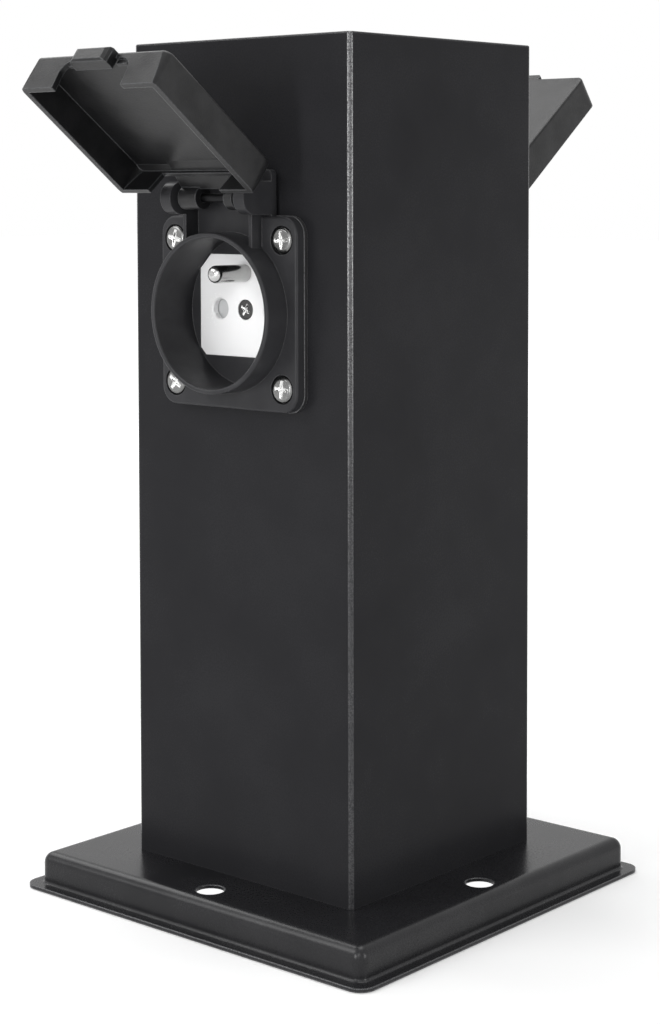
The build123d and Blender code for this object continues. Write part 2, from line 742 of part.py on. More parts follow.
def make_shutter():
    """Turning shutter: a hub with two arms whose lobes close the contact mouths."""
    shutter = rod(shutter_hub_radius, 0, 0, shutter_back, shutter_front)
    for x in contact_places:
        shutter += rod(shutter_lobe_radius, x, 0, shutter_back, shutter_front)
    shutter += block(-contact_spacing / 2, contact_spacing / 2, -shutter_arm_width / 2, shutter_arm_width / 2,
                     shutter_back, shutter_front)
    shutter -= rod(shutter_boss_radius + hinge_running_gap, 0, 0, shutter_back - 1, shutter_front + 1)
    return Pos(0, contact_rise, 0) * shutter


def make_shutter_spring():
    """Torsion spring round the shutter's boss: a leg against an arm and a foot in the base."""
    height = spring_turns * spring_pitch
    bottom = cavity_back - spring_pocket_depth + spring_wire_radius + slide_gap / 2
    coil = Helix(pitch=spring_pitch, height=height, radius=spring_coil_radius)
    section = Plane(origin=coil @ 0, z_dir=coil % 0) * Circle(spring_wire_radius)
    spring = Rot(0, 0, spring_leg_angle) * sweep(section, path=coil, is_frenet=True)
    leg = rod(spring_wire_radius, spring_coil_radius, 0, height, shutter_front - bottom)
    foot = rod(spring_wire_radius, spring_coil_radius, 0, -spring_foot_depth, 0)
    spring += Rot(0, 0, spring_leg_angle) * (leg + foot)
    return Pos(0, contact_rise, bottom) * spring


def cage_bottom():
    """Height of the underside of the terminal cages above the socket's centre."""
    return -base_half_height + cage_bottom_wall


def make_contact_base():
    """Moulded base behind the insert, with the shutter's cavity, its boss, and seats for the contacts."""
    front_disc = rod(skirt_radius - skirt_wall - base_flange_clearance, 0, 0, -skirt_depth, floor_back)
    width = 2 * base_half_width
    body = Pos(0, 0, -base_depth) * extrude(RectangleRounded(width, 2 * base_half_height, base_corner_radius),
                                            base_depth - skirt_depth)
    base = front_disc + body
    base -= Pos(0, 0, cavity_back) * extrude(insert_outline(-ledge_width), -cavity_back)
    base += rod(shutter_boss_radius, 0, contact_rise, cavity_back - 1, insert_back - slide_gap)
    ring = rod(spring_coil_radius + 4 * spring_wire_radius, 0, contact_rise,
               cavity_back - spring_pocket_depth, cavity_back)
    base -= ring - rod(shutter_boss_radius, 0, contact_rise, -base_depth, 0)
    foot = rod(spring_wire_radius + slide_gap, spring_coil_radius, 0,
               cavity_back - spring_pocket_depth - spring_foot_depth, cavity_back)
    base -= Pos(0, contact_rise, 0) * Rot(0, 0, spring_leg_angle) * foot
    base -= rod(centre_screw_radius + pin_gap, 0, contact_rise, -cage_front, 0)
    bottom = cage_bottom() - slide_gap
    half = cage_width / 2 + slide_gap
    for x in contact_places:
        base -= rod(sleeve_bore_radius + sleeve_wall + slide_gap, x, contact_rise, -cage_back - slide_gap, 0)
        base -= block(x - half, x + half, bottom, contact_rise, -base_depth - 1, -cage_front + slide_gap)
    base -= rod(earth_shank_radius + slide_gap, 0, contact_rise + earth_pin_rise, -base_depth - 1, 0)
    cage_top = bottom + cage_height + 2 * slide_gap
    base -= block(-half, half, bottom, cage_top, -base_depth - 1, -cage_front + slide_gap)
    strap_top = contact_rise + earth_pin_rise + half
    base -= block(-half, half, bottom, strap_top, -base_depth - 1,
                  -cage_back + earth_strap_sheet + slide_gap)
    for x in terminal_places:
        base -= rod_along_y(wire_radius + wire_gap, x, -base_half_height - 1, bottom + slide_gap,
                            -wire_entry_depth)
    return base


def terminal_cage(x, top):
    """Brass cage with a wire bore from below and a tapped hole from behind."""
    half = cage_width / 2
    cage = block(x - half, x + half, cage_bottom(), top, -cage_back, -cage_front)
    cage -= rod_along_y(wire_bore_radius, x, cage_bottom() - 1, cage_bottom() + core_length + 1,
                        -wire_entry_depth)
    cage -= rod(terminal_screw_radius + pin_gap, x, cage_bottom() + cage_height / 2, -cage_back - 1,
                -wire_entry_depth)
    return cage


def make_contact(x):
    """Sprung brass sleeve for one plug pin, with its terminal cage."""
    outer = sleeve_bore_radius + sleeve_wall
    sleeve = rod(outer, x, contact_rise, -cage_back, cavity_back - sleeve_start_gap)
    contact = sleeve + terminal_cage(x, contact_rise - sleeve_bore_radius)
    contact -= rod(sleeve_bore_radius, x, contact_rise, -cage_back + sleeve_wall, 0)
    slot = block(x - sleeve_slot_width / 2, x + sleeve_slot_width / 2, contact_rise,
                 contact_rise + 2 * outer, -cage_front, 0)
    return contact - slot


def make_earth_pin():
    """Earth pin with a rounded tip and a thinner shank, and a strap down to its terminal cage."""
    rise = contact_rise + earth_pin_rise
    tip = well_floor + earth_pin_reach
    pin = rod(earth_pin_radius, 0, rise, well_floor, tip)
    pin = fillet(pin.edges().group_by(Axis.Z)[-1], earth_tip_radius)
    pin = chamfer(pin.edges().group_by(Axis.Z)[0], earth_root_chamfer)
    pin += rod(earth_shank_radius, 0, rise, -cage_back, well_floor)
    half = cage_width / 2
    strap = block(-half, half, cage_bottom() + cage_height - strap_overlap, rise + half, -cage_back,
                  -cage_back + earth_strap_sheet)
    return pin + strap + terminal_cage(0, cage_bottom() + cage_height)


def make_terminal_screws():
    """Three clamping screws at the back of the terminals."""
    screws = []
    for x in terminal_places:
        screw = flat_screw(terminal_head_radius, small_head_height, terminal_screw_radius, 0, 0,
                           cage_back, wire_entry_depth + core_radius + slide_gap)
        screws.append(Pos(x, cage_bottom() + cage_height / 2, 0) * Rot(180, 0, 0) * screw)
    return screws


def make_centre_screw():
    """Screw that draws the insert and the base together through the frame's floor."""
    screw = flat_screw(centre_head_radius, centre_head_height, centre_screw_radius, 0, 0,
                       well_floor - centre_head_height, -cage_front + 1)
    return Pos(0, contact_rise, 0) * screw


def make_frame_screws():
    """Four screws through flange, gasket and panel."""
    tip = -post_sheet - frame_nut_height - thread_stick_out
    return [pan_screw(frame_head_radius, frame_head_height, frame_screw_radius, x, y, screw_seat, tip)
            for x, y in frame_screw_places]


def make_frame_nuts():
    """Four nuts behind the panel."""
    far_side = -post_sheet - frame_nut_height
    return [hex_nut(frame_nut_across, frame_screw_radius + pin_gap, x, y, far_side, -post_sheet)
            for x, y in frame_screw_places]


def make_socket_wires(side):
    """Live, earth and neutral wires from one socket to the terminal block; side is -1 front, 1 rear."""
    away = side * (post_half - wire_entry_depth)
    lane = side * (wire_radius + wire_gap / 2)
    top = socket_bottom - slide_gap
    bottom = block_top + slide_gap
    wires = {}
    for label, start, end in zip(("live", "earth", "neutral"), terminal_places, pole_places):
        route = [(start, away, top), (start, away, top - wire_start_run),
                 (end, lane, bottom + wire_end_run), (end, lane, bottom)]
        wires[label] = insulated_wire(label, route, cage_bottom_wall + core_length, core_length)
    return wires


def make_parts():
    """Every piece in its place, as node name and list of solids."""
    parts = {"post_shell": [make_post_shell()], "top_cap": [make_top_cap()], "base_tray": [make_base_tray()],
             "foot_screws": make_foot_screws(), "foot_nuts": make_foot_nuts()}
    gland, seal, locknut = make_gland()
    parts.update({"cable_gland": [gland], "gland_seal": [seal], "gland_locknut": [locknut]})
    parts["terminal_bracket"] = [make_terminal_bracket()]
    parts["bracket_screws"], parts["bracket_nuts"] = make_bracket_fasteners()
    body, inserts, clamps, screws, nuts = make_terminal_block()
    parts.update({"terminal_block": [body], "pole_inserts": inserts, "pole_screws": clamps,
                  "block_screws": screws, "block_nuts": nuts})
    stud, nut = make_earth_stud()
    wire, lug = make_earth_bond()
    parts.update({"earth_stud": [stud], "earth_nut": [nut], "earth_bond_wire": [wire], "earth_lug": [lug]})
    left, right = contact_places
    socket = {"gasket": [make_gasket()], "socket_frame": [make_socket_frame()],
              "hinge_pin": [make_hinge_pin()], "lid": [open_lid(make_lid())], "insert": [make_insert()],
              "shutter": [make_shutter()], "shutter_spring": [make_shutter_spring()],
              "contact_base": [make_contact_base()], "left_contact": [make_contact(left)],
              "right_contact": [make_contact(right)], "earth_pin": [make_earth_pin()],
              "terminal_screws": make_terminal_screws(),
              "centre_screw": [make_centre_screw()], "frame_screws": make_frame_screws(),
              "frame_nuts": make_frame_nuts()}
    for label, plane, side in (("front", front_plane, -1), ("rear", rear_plane, 1)):
        for name, solids in socket.items():
            parts[f"{label}_{name}"] = [plane * solid for solid in solids]
        for name, wire in make_socket_wires(side).items():
            parts[f"{label}_{name}_wire"] = [wire]
    return parts


os.makedirs("parts", exist_ok=True)
for name, solids in make_parts().items():
    shape = solids[0] if len(solids) == 1 else Compound(children=solids)
    export_step(shape, f"parts/{name}.step")
print("hinge axis", -post_half - hinge_reach, socket_height + hinge_rise)
print("contact height", socket_height + contact_rise, "shutter", post_half + shutter_back)
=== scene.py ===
"""Garden socket: looks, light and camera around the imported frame.

Metres, +Z up, front socket facing -Y.
"""
import bpy
import bmesh
import json
import math
from mathutils import Matrix, Vector


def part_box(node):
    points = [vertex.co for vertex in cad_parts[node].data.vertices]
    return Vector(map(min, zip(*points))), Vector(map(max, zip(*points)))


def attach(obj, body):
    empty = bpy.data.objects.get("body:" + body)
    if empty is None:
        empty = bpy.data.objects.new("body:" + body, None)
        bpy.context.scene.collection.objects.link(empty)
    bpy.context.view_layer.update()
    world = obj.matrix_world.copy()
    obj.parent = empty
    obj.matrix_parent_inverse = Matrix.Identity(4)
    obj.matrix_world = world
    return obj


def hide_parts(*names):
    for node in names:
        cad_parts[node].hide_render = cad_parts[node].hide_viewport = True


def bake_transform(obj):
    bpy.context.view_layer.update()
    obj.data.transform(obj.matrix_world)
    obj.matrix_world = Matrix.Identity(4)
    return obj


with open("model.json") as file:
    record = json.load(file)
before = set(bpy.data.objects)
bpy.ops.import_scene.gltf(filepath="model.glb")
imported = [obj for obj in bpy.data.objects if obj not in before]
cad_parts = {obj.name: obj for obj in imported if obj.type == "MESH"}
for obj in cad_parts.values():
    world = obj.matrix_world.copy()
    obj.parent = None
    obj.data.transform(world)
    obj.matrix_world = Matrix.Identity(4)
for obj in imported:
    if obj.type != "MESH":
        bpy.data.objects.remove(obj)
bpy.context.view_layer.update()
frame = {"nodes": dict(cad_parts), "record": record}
nodes = frame["nodes"]

MM = 0.001

# Post's two sockets: the way each faces along Y, and its word in the names of pieces
SIDES = ((-1, "front"), (1, "rear"))

# Camera: found from the post's edges, the tray's edges and the socket's flange in the photograph
CAMERA_PLACE = (0.3931, -0.4562, 0.2002)
CAMERA_TURN = math.radians(40.87)
CAMERA_DIP = math.radians(3.10)
CAMERA_ROLL = math.radians(-0.12)
CAMERA_LENS = 74.27
CAMERA_SHIFT = (0.0, -0.2070)
CAMERA_CLIP = (0.01, 50.0)

# Studio floor: half its width, how far it lies under the object, and its paper
FLOOR_HALF = 6.0
FLOOR_DROP = 0.2 * MM
FLOOR_COLOUR = "#f2f2f2"
FLOOR_ROUGH = 0.9
FLOOR_SHEEN = 0.1

# What the floor adds where it is seen, so that it shows as white: near the object, where its shadow
# stays, far from it, where the lamps don't reach, and under the tray, where the fixing holes show it.
# A span is the distances from the middle between which its lift comes in
FLOOR_LIFT = 0.15
FAR_LIFT = 0.90
FAR_SPAN = (0.35, 1.50)
UNDER_LIFT = 1.0
UNDER_SPAN = (60 * MM, 56 * MM)

# Studio room: its light on the object, and its brightness where it is seen
ROOM_LIGHT = 0.25
ROOM_SEEN = 1.0

# Studio lamps: name, place, aim, width, height and power in watts
SOFTBOXES = (
    ("front_softbox", (0.75, -1.10, 0.60), (0, 0, 0.15), 0.30, 0.60, 3.2),
    ("left_strip", (0.10, -1.30, 0.21), (0, 0, 0.15), 0.14, 0.42, 5),
    ("right_strip", (1.30, 0.08, 0.21), (0, 0, 0.15), 0.14, 0.42, 4),
    ("key_softbox", (-0.90, -1.30, 1.20), (0, 0, 0.15), 1.0, 1.0, 14),
    ("over_softbox", (-0.80, 0.10, 1.20), (0, 0, 0.20), 0.7, 1.0, 7),
    ("top_softbox", (0.0, 0.30, 1.80), (0, 0, 0.10), 1.2, 1.2, 17),
)

# Noise of a finish's drift and of its grain: detail and roughness
DRIFT_NOISE = (3.0, 0.55)
GRAIN_NOISE = (2.0, 0.60)

# Spans over which specks, roughness and shine go from least to most: of the grain, of the grain times
# the drift, and of the drift
SPECK_SPAN = (0.25, 0.55)
MATT_SPAN = (0.10, 0.45)
SHINE_SPAN = (0.30, 0.70)

# Stripes: how far the wave turns along an axis, in radians per metre at a scale of one, and the span
# of the wave over which one tone goes over into the other
WAVE_RATE = 10
STRIPE_SPAN = (0.45, 0.55)

# Edges: the bevel's samples, and the lean at which an edge is sound and that at which it is rubbed
EDGE_SAMPLES = 6
EDGE_SPAN = (0.995, 0.96)

# Post's bends: |x| + |y| where a bend starts, and where the painted highlight along it is at full
# strength
BEND_SPAN = (78.75 * MM, 78.95 * MM)

# Post: heights between which its painted bend highlight and its edges' rubbing grow to full strength,
# and their share at the lower one
POST_FADE_HEIGHTS = (120 * MM, 185 * MM)
POST_FADE_LEAST = 0.42

# Screws: the socket's height on the post, the flange screws' pitch, each head's radius, height and
# rounding, the shank, and how far each cross is turned
SOCKET_HEIGHT = 166.1 * MM
FRAME_SCREW_PITCH = 39.5 * MM
FRAME_HEAD = (3.6 * MM, 1.5 * MM, 1.05 * MM)
CENTRE_HEAD = (2.7 * MM, 1.3 * MM, 0.25 * MM)
SHANK_RADIUS = 1.75 * MM
FRAME_TURNS = [math.radians(turn) for turn in (12, -3, 35, 5)]
CENTRE_TURN = math.radians(30)

# Cross recess: its reach as a share of the head's radius, and as shares of that reach its half width
# at the tips, its depth, and how far its walls and its ends slope. The flare is what the half width
# gains for each metre towards the middle
CROSS_REACH = 0.65
CROSS_HALF_WIDTH = 0.17
CROSS_DEPTH = 0.24
CROSS_WALL = 0.14
CROSS_END = 0.60
CROSS_FLARE = 0.10

# Screw meshes: steps round the head, rings on its crown, steps of its rounding, and sharp edges
SCREW_STEPS = 96
CROWN_RINGS = 22
ROUNDING_STEPS = 8
SHARP_ANGLE = math.radians(40)

# Gap under which a mesh's points are merged
MERGE_GAP = 1e-6


def linear(code):
    """Linear RGBA of an sRGB hex colour."""
    parts = [int(code[i:i + 2], 16) / 255 for i in (1, 3, 5)]
    return tuple(v / 12.92 if v <= 0.04045 else ((v + 0.055) / 1.055) ** 2.4
                 for v in parts) + (1.0,)


def empty_tree(block):
    """Node tree of a new material or world, with its nodes cleared away."""
    block.use_nodes = True
    block.node_tree.nodes.clear()
    return block.node_tree


def add(tree, kind, inputs, **settings):
    """Adds a node, sets its properties, and fills or links its inputs."""
    new = tree.nodes.new(kind)
    for key, value in settings.items():
        setattr(new, key, value)
    for key, value in inputs.items():
        if isinstance(value, bpy.types.NodeSocket):
            tree.links.new(value, new.inputs[key])
        else:
            new.inputs[key].default_value = value
    return new


def calc(tree, operation, *values):
    """Result of one arithmetic step on one or two values."""
    return add(tree, "ShaderNodeMath", dict(enumerate(values)), operation=operation).outputs["Value"]


def ramp(tree, value, span, least=0.0, most=1.0):
    """From least to most as a value crosses a span, and level beyond it."""
    start, end = span
    return add(tree, "ShaderNodeMapRange", {"Value": value, "From Min": start, "From Max": end,
                                            "To Min": least, "To Max": most}).outputs["Result"]


def mix(tree, kind, share, first, second):
    """Two values or colours mixed, the second by its share."""
    return add(tree, "ShaderNodeMix", {"Factor": share, "A": first, "B": second},
               data_type=kind).outputs["Result"]


def noise(tree, place, size, detail, roughness):
    """Cloudy noise whose patches have a real size."""
    return add(tree, "ShaderNodeTexNoise", {"Vector": place, "Scale": 1 / size, "Detail": detail,
                                            "Roughness": roughness}).outputs["Fac"]


def bevel(tree, radius):
    """The surface's direction, turned over near edges as if they were rounded."""
    return add(tree, "ShaderNodeBevel", {"Radius": radius}, samples=EDGE_SAMPLES).outputs["Normal"]


def edge_wear(tree, reach):
    """One at an edge, falling to zero as far from it as its rubbing reaches."""
    flat = add(tree, "ShaderNodeNewGeometry", {}).outputs["Normal"]
    lean = add(tree, "ShaderNodeVectorMath", {0: bevel(tree, reach), 1: flat},
               operation="DOT_PRODUCT").outputs["Value"]
    return ramp(tree, lean, EDGE_SPAN)


def painted_bend_highlight(tree, place, edge_rub_and_bend_highlight):
    """Adds a painted highlight along the post's four upright bends to the rubbed edges, and fades
    both towards the foot.
    """
    axes = add(tree, "ShaderNodeSeparateXYZ", {"Vector": place}).outputs
    out = calc(tree, "ADD", *[calc(tree, "ABSOLUTE", axes[axis]) for axis in ("X", "Y")])
    most = calc(tree, "MAXIMUM", edge_rub_and_bend_highlight, ramp(tree, out, BEND_SPAN))
    return calc(tree, "MULTIPLY", most, ramp(tree, axes["Z"], POST_FADE_HEIGHTS, POST_FADE_LEAST))


def striped(tree, place, width):
    """Zero and one in slanted stripes, of a width along each axis."""
    wave = add(tree, "ShaderNodeTexWave", {"Vector": place, "Scale": math.pi / (WAVE_RATE * width)},
               wave_type="BANDS", bands_direction="DIAGONAL", wave_profile="SIN")
    return ramp(tree, wave.outputs["Fac"], STRIPE_SPAN)


def finish_of(name, tones, rough, sizes, shine=None, metal=False, bends=False, stripe=None):
    """A surface whose tone and shine drift over patches, with fine grain and soft, rubbed edges.

    tones are the darkest, the lightest and that of a rubbed edge, which on the post's bends is a
    painted highlight, and rough is the lowest and highest roughness. sizes are in millimetres: the
    drift's patches, the grain, the grain's height, an edge's rounding, and how far in from the edge
    it is rubbed.
    shine is the lowest, highest and rubbed specular level, where it isn't the shader's own. metal
    makes it one. bends adds a painted highlight along the post's upright bends, and fades it and the
    edges' rubbing towards the foot. stripe is the width in millimetres of slanted stripes of the
    first two tones, in the place of their drift.
    """
    dark, light, rubbed = [linear(tone) for tone in tones]
    patch, grain, depth, edge, reach = [size * MM for size in sizes]
    material = bpy.data.materials.new(name)
    tree = empty_tree(material)
    place = add(tree, "ShaderNodeTexCoord", {}).outputs["Object"]
    drift = noise(tree, place, patch, *DRIFT_NOISE)
    fine = noise(tree, place, grain, *GRAIN_NOISE)
    edge_rub_and_bend_highlight = edge_wear(tree, reach)
    if bends:
        # On the post: a painted highlight along the bends, fading towards the foot
        edge_rub_and_bend_highlight = painted_bend_highlight(tree, place, edge_rub_and_bend_highlight)
    specked_rub_and_highlight = calc(tree, "MULTIPLY", edge_rub_and_bend_highlight, ramp(tree, fine, SPECK_SPAN))
    share = striped(tree, place, stripe * MM) if stripe else drift
    tone = mix(tree, "RGBA", share, dark, light)
    colour = mix(tree, "RGBA", specked_rub_and_highlight, tone, rubbed)
    matt = ramp(tree, calc(tree, "MULTIPLY", drift, fine), MATT_SPAN, *rough)
    relief = add(tree, "ShaderNodeBump", {"Height": fine, "Normal": bevel(tree, edge),
                                          "Strength": 1.0, "Distance": depth}).outputs["Normal"]
    body = add(tree, "ShaderNodeBsdfPrincipled", {"Base Color": colour, "Roughness": matt,
                                                  "Normal": relief, "Metallic": float(metal)})
    if shine:
        lowest, highest, polished = shine
        sheen = ramp(tree, drift, SHINE_SPAN, lowest, highest)
        level = mix(tree, "FLOAT", specked_rub_and_highlight, sheen, polished)
        tree.links.new(level, body.inputs["Specular IOR Level"])
    add(tree, "ShaderNodeOutputMaterial", {"Surface": body.outputs["BSDF"]})
    return material


# Polyester powder coat on steel: satin black, slightly cloudy, with fine orange peel and speckled,
# rubbed bends
POWDER_COAT = finish_of("powder_coat_satin_black", ("#171719", "#212123", "#58585a"), (0.22, 0.32),
                        (24, 0.45, 0.02, 0.5, 0.6), (0.21, 0.29, 0.55))
# The same coat on the post: a copy with a paler tone and far less shine than the tray's, set for how
# bright its faces come out under these lamps. Its upright bends are painted paler as a highlight that
# fades towards the foot, and are given more shine there
POST_COAT = finish_of("powder_coat_post", ("#202022", "#29292b", "#464648"), (0.22, 0.32),
                      (30, 0.45, 0.02, 0.5, 0.6), (0.045, 0.06, 0.95), bends=True)
# Glass-filled polyamide, moulded in a finely eroded tool: black with a low sheen and a tight grain
POLYAMIDE_BLACK = finish_of("polyamide_black", ("#29292b", "#363638", "#3c3c3e"), (0.30, 0.42),
                            (9, 0.4, 0.015, 0.35, 0.4), (0.10, 0.16, 0.28))
# Polycarbonate blend with an eroded texture: near black, satin, and paler where its edges are handled
LID_CHARCOAL = finish_of("polycarbonate_charcoal", ("#121213", "#1d1d1e", "#464749"), (0.30, 0.44),
                         (7, 0.5, 0.05, 0.35, 0.5), (0.21, 0.30, 0.42))
# Chloroprene rubber: flat black, paler and greyish towards its edges
RUBBER = finish_of("chloroprene_rubber", ("#29292a", "#353536", "#68686a"), (0.55, 0.70),
                   (8, 0.6, 0.03, 0.3, 0.5), (0.28, 0.38, 0.5))
# Urea-formaldehyde insert: hard, glossy and very white
INSERT_WHITE = finish_of("urea_white", ("#f1f1f2", "#f8f8f8", "#fbfbfb"), (0.18, 0.28),
                         (14, 0.8, 0.004, 0.2, 0.3))
# Polyamide of the shutter and the contact base: pale grey, satin
POLYAMIDE_GREY = finish_of("polyamide_grey", ("#bcbdbe", "#c8c9ca", "#d4d4d4"), (0.34, 0.46),
                           (8, 0.5, 0.012, 0.2, 0.3))
# Polyethylene terminal block: waxy, cream
TERMINAL_CREAM = finish_of("polyethylene_cream", ("#d9d2bd", "#e3ddca", "#ece8da"), (0.36, 0.50),
                           (10, 0.7, 0.015, 0.2, 0.3))
# Zinc plate with clear passivation: grey-blue and a little uneven
ZINC = finish_of("zinc_plate", ("#a4a8ad", "#bcc0c4", "#d2d5d8"), (0.26, 0.42),
                 (5, 0.35, 0.006, 0.15, 0.2), metal=True)
# Drawn spring steel: bright and smooth, with a pale grey tone
SPRING_STEEL = finish_of("drawn_steel", ("#9fa0a2", "#b4b4b6", "#c8c8ca"), (0.20, 0.32),
                         (4, 0.3, 0.004, 0.05, 0.1), metal=True)
# Blackened steel of the hinge pins: oil-dark, with a dull shine
BLACK_STEEL = finish_of("blackened_steel", ("#1b1b1c", "#262627", "#4d4d4f"), (0.36, 0.50),
                        (4, 0.3, 0.005, 0.15, 0.2), metal=True)
# Bright nickel plate of the turned earth pins: mirror-like, a neutral grey
NICKEL = finish_of("nickel_plate", ("#a4a4a3", "#c0c0bf", "#dadad9"), (0.12, 0.26),
                   (3, 0.4, 0.006, 0.2, 0.3), metal=True)
# Nickel plate on the cold-headed screws: darker and rougher than on the turned pins
NICKEL_HEADED = finish_of("nickel_headed", ("#646464", "#80807f", "#c8c8c7"), (0.22, 0.36),
                          (2, 0.3, 0.004, 0.12, 0.25), metal=True)
# Nickel plate in the screws' recesses, painted much brighter than the heads as a reflection in the
# crosses
NICKEL_RECESS_REFLECTION = finish_of("nickel_recess_reflection", ("#c0c0bf", "#dcdcdb", "#e6e6e5"), (0.18, 0.30),
                           (2, 0.3, 0.003, 0.1, 0.15), metal=True)
# Nickel plate on the centre screws, painted nearly black as the shade of the well they sit in and
# mirror
NICKEL_WELL_SHADE = finish_of("nickel_well_shade", ("#3a3a3a", "#565655", "#8c8c8b"), (0.22, 0.34),
                          (1.2, 0.3, 0.008, 0.12, 0.2), metal=True)
# Turned brass of the contacts and inserts: yellow, with a soft shine
BRASS = finish_of("turned_brass", ("#b8924a", "#cba75e", "#dcc07f"), (0.22, 0.36),
                  (5, 0.35, 0.006, 0.15, 0.2), metal=True)
# Tinned copper of the earth lug: silver-grey, a little dull
TINNED = finish_of("tinned_copper", ("#adadac", "#c2c2c0", "#d2d2d0"), (0.28, 0.42),
                   (4, 0.35, 0.006, 0.15, 0.2), metal=True)
# Polyvinyl chloride insulation: brown, with a slightly oily sheen
WIRE_BROWN = finish_of("pvc_brown", ("#5b3420", "#663c27", "#714732"), (0.34, 0.46),
                       (10, 0.5, 0.006, 0.1, 0.1))
# The same in blue
WIRE_BLUE = finish_of("pvc_blue", ("#2a5da8", "#3467b3", "#4575bd"), (0.34, 0.46),
                      (10, 0.5, 0.006, 0.1, 0.1))
# The same in green and yellow stripes, for the earth wires
WIRE_GREEN = finish_of("pvc_green_yellow", ("#2f8a34", "#d8cb2c", "#d4d04a"), (0.34, 0.46),
                       (6, 0.5, 0.006, 0.1, 0.1), stripe=3.2)

SLOT_FINISH = {
    "powder_coat": POWDER_COAT,
    "black_plastic": POLYAMIDE_BLACK,
    "dark_plastic": POLYAMIDE_BLACK,
    "charcoal_plastic": LID_CHARCOAL,
    "rubber": RUBBER,
    "white_plastic": INSERT_WHITE,
    "grey_plastic": POLYAMIDE_GREY,
    "cream_plastic": TERMINAL_CREAM,
    "zinc_steel": ZINC,
    "bright_steel": SPRING_STEEL,
    "black_steel": BLACK_STEEL,
    "nickel": NICKEL,
    "brass": BRASS,
    "tinned_copper": TINNED,
    "brown_wire": WIRE_BROWN,
    "blue_wire": WIRE_BLUE,
    "green_yellow_wire": WIRE_GREEN,
}
for entry in frame["record"]["subparts"]:
    mesh = nodes[entry["node"]].data
    mesh.materials.clear()
    mesh.materials.append(SLOT_FINISH[entry["material_slot"]])
nodes["post_shell"].data.materials[0] = POST_COAT


def new_object(name, data):
    """A new object in the scene."""
    thing = bpy.data.objects.new(name, data)
    bpy.context.scene.collection.objects.link(thing)
    return thing


def smooth_mesh(name, form):
    """Smooth mesh of a form, with its points merged and its faces turned outwards."""
    bmesh.ops.remove_doubles(form, verts=form.verts, dist=MERGE_GAP)
    bmesh.ops.recalc_face_normals(form, faces=form.faces)
    mesh = bpy.data.meshes.new(name)
    form.to_mesh(mesh)
    form.free()
    mesh.shade_smooth()
    return mesh


def screw_profile(head, tip):
    """Half outline of a screw from its tip to its crown, seat at zero, as (radius, height)."""
    radius, height, rounding = head
    line = [(0.0, tip), (SHANK_RADIUS, tip), (SHANK_RADIUS, 0.0), (radius, 0.0)]
    for i in range(ROUNDING_STEPS + 1):
        angle = math.radians(90) * i / ROUNDING_STEPS
        inward, down = rounding * (1 - math.cos(angle)), rounding * (1 - math.sin(angle))
        line.append((radius - inward, height - down))
    flat = radius - rounding
    line += [(flat * (CROWN_RINGS - i) / CROWN_RINGS, height) for i in range(1, CROWN_RINGS + 1)]
    return line


def cross_depth(x, y, reach):
    """How deep the tapered cross is below the crown at a place on it."""
    along = max(abs(x), abs(y))
    across = min(abs(x), abs(y))
    half_width = CROSS_HALF_WIDTH * reach + CROSS_FLARE * (reach - along)
    wall = min(max((half_width - across) / (CROSS_WALL * reach), 0.0), 1.0)
    fall = min(max((reach - along) / (CROSS_END * reach), 0.0), 1.0)
    return CROSS_DEPTH * reach * wall * fall


def cross_screws(name, node, side, screws, head, plate, recess):
    """Cross-head screws with a tapered recess, in the place of a node's plainer ones.

    side is -1 for the front and 1 for the rear, screws are (x, z, turn) on the post's face, head is
    the head's (radius, height, rounding), and plate and recess are the finishes outside and inside
    the recess.
    """
    low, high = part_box(node)
    out, inner = (-low.y, -high.y) if side < 0 else (high.y, low.y)
    radius, height, rounding = head
    seat = out - height
    form = bmesh.new()
    sunk_faces = set()
    for x, z, turn in screws:
        start = len(form.verts)
        line = [form.verts.new((r, 0.0, h)) for r, h in screw_profile(head, inner - seat)]
        edges = [form.edges.new(pair) for pair in zip(line, line[1:])]
        bmesh.ops.spin(form, geom=line + edges, cent=(0, 0, 0), axis=(0, 0, 1), angle=2 * math.pi,
                       steps=SCREW_STEPS, use_merge=True)
        form.verts.ensure_lookup_table()
        form.faces.index_update()
        made = form.verts[start:]
        for vert in made:
            from_middle = math.hypot(vert.co.x, vert.co.y)
            if vert.co.z > height - rounding and from_middle < radius - rounding / 2:
                spun = Matrix.Rotation(turn, 2) @ vert.co.xy
                sunk = cross_depth(spun.x, spun.y, CROSS_REACH * radius)
                vert.co.z -= sunk
                if sunk > 0:
                    sunk_faces.update(face.index for face in vert.link_faces)
        stand = Matrix.Rotation(side * math.radians(-90), 4, "X")
        move = Matrix.Translation((x, side * seat, z))
        bmesh.ops.transform(form, matrix=move @ stand, verts=made)
    form.faces.ensure_lookup_table()
    for index in sunk_faces:
        form.faces[index].material_index = 1
    mesh = smooth_mesh(name, form)
    mesh.set_sharp_from_angle(angle=SHARP_ANGLE)
    mesh.materials.append(plate)
    mesh.materials.append(recess)
    piece = new_object(name, mesh)
    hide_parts(node)
    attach(piece, "post")


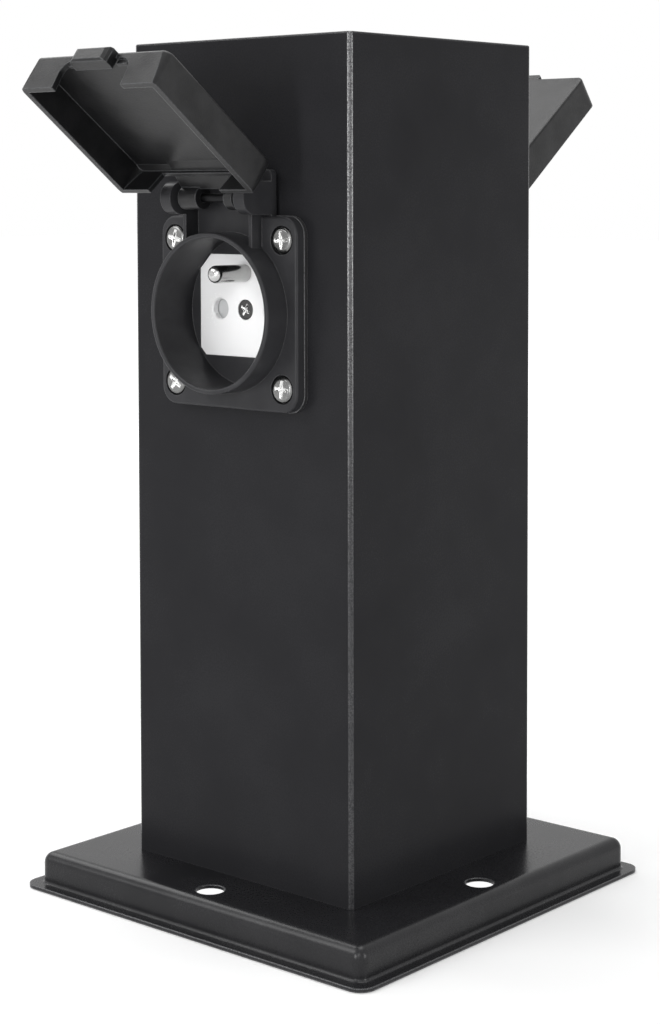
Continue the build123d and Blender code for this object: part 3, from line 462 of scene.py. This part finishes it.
def make_screws():
    """The four flange screws and the centre screw of each socket, turned as a driver leaves them."""
    half = FRAME_SCREW_PITCH / 2
    places = ((-half, half), (half, half), (-half, -half), (half, -half))
    for side, word in SIDES:
        flange = [(x, SOCKET_HEIGHT + rise, turn) for (x, rise), turn in zip(places, FRAME_TURNS)]
        # The flange screws' recesses take nickel painted bright as a reflection
        cross_screws(word + "_flange_screws", word + "_frame_screws", side, flange, FRAME_HEAD,
                     NICKEL_HEADED, NICKEL_RECESS_REFLECTION)
        low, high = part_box(word + "_centre_screw")
        middle = [((low.x + high.x) / 2, (low.z + high.z) / 2, CENTRE_TURN)]
        # The centre screw's head takes nickel painted dark as the shade of the well
        cross_screws(word + "_middle_screw", word + "_centre_screw", side, middle, CENTRE_HEAD,
                     NICKEL_WELL_SHADE, NICKEL)


def make_springs():
    """The torsion springs, from the frame's own, wound between their foot and the shutter's leg."""
    for side, word in SIDES:
        node = word + "_shutter_spring"
        form = bmesh.new()
        form.from_mesh(nodes[node].data)
        mesh = smooth_mesh(word + "_wound_spring", form)
        mesh.materials.append(SPRING_STEEL)
        piece = new_object(word + "_wound_spring", mesh)
        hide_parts(node)
        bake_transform(piece)


make_screws()
make_springs()


def seen_directly(tree):
    """One where the camera, a reflection or a transmitted ray looks straight at it, else zero."""
    path = add(tree, "ShaderNodeLightPath", {}).outputs
    plain = calc(tree, "MAXIMUM", path["Is Camera Ray"], path["Is Glossy Ray"])
    return calc(tree, "MAXIMUM", plain, path["Is Transmission Ray"])


def floor_paper():
    """Pale matt paper, lifted to white where it is seen."""
    material = bpy.data.materials.new("floor_paper")
    tree = empty_tree(material)
    place = add(tree, "ShaderNodeTexCoord", {}).outputs["Object"]
    reach = add(tree, "ShaderNodeVectorMath", {0: place}, operation="LENGTH").outputs["Value"]
    far = ramp(tree, reach, FAR_SPAN, FLOOR_LIFT, FAR_LIFT)
    under = ramp(tree, reach, UNDER_SPAN, FLOOR_LIFT, UNDER_LIFT)
    lift = calc(tree, "MULTIPLY", seen_directly(tree), calc(tree, "MAXIMUM", far, under))
    body = add(tree, "ShaderNodeBsdfPrincipled", {"Base Color": linear(FLOOR_COLOUR),
                                                  "Roughness": FLOOR_ROUGH,
                                                  "Specular IOR Level": FLOOR_SHEEN,
                                                  "Emission Color": (1, 1, 1, 1),
                                                  "Emission Strength": lift})
    add(tree, "ShaderNodeOutputMaterial", {"Surface": body.outputs["BSDF"]})
    return material


def make_floor():
    """Wide pale floor that keeps the object's shadow."""
    mesh = bpy.data.meshes.new("studio_floor")
    form = bmesh.new()
    bmesh.ops.create_grid(form, x_segments=1, y_segments=1, size=FLOOR_HALF)
    form.to_mesh(mesh)
    form.free()
    mesh.materials.append(floor_paper())
    floor = new_object("studio_floor", mesh)
    floor.location.z = -FLOOR_DROP


def make_world():
    """Soft room light, seen as white."""
    world = bpy.data.worlds.new("studio_room")
    tree = empty_tree(world)
    strength = ramp(tree, seen_directly(tree), (0.0, 1.0), ROOM_LIGHT, ROOM_SEEN)
    sky = add(tree, "ShaderNodeBackground", {"Color": (1, 1, 1, 1), "Strength": strength})
    add(tree, "ShaderNodeOutputWorld", {"Surface": sky.outputs["Background"]})
    bpy.context.scene.world = world


def make_softbox(name, place, aim, width, height, power):
    """Rectangular soft light turned to a point."""
    lamp = bpy.data.lights.new(name, "AREA")
    lamp.shape = "RECTANGLE"
    lamp.size = width
    lamp.size_y = height
    lamp.energy = power
    box = new_object(name, lamp)
    box.location = place
    box.rotation_euler = (Vector(aim) - Vector(place)).to_track_quat("-Z", "Y").to_euler()


def make_camera():
    """Camera at the photograph's angle."""
    lens = bpy.data.cameras.new("studio_camera")
    lens.lens = CAMERA_LENS
    lens.shift_x, lens.shift_y = CAMERA_SHIFT
    lens.clip_start, lens.clip_end = CAMERA_CLIP
    camera = new_object("studio_camera", lens)
    turn = Matrix.Rotation(CAMERA_TURN, 4, "Z")
    dip = Matrix.Rotation(math.radians(90) - CAMERA_DIP, 4, "X")
    roll = Matrix.Rotation(CAMERA_ROLL, 4, "Z")
    camera.matrix_world = Matrix.Translation(CAMERA_PLACE) @ turn @ dip @ roll
    bpy.context.scene.camera = camera


make_floor()
make_world()
for softbox in SOFTBOXES:
    make_softbox(*softbox)
make_camera()

scene = bpy.context.scene
scene.view_settings.view_transform = "Standard"

bpy.context.view_layer.update()
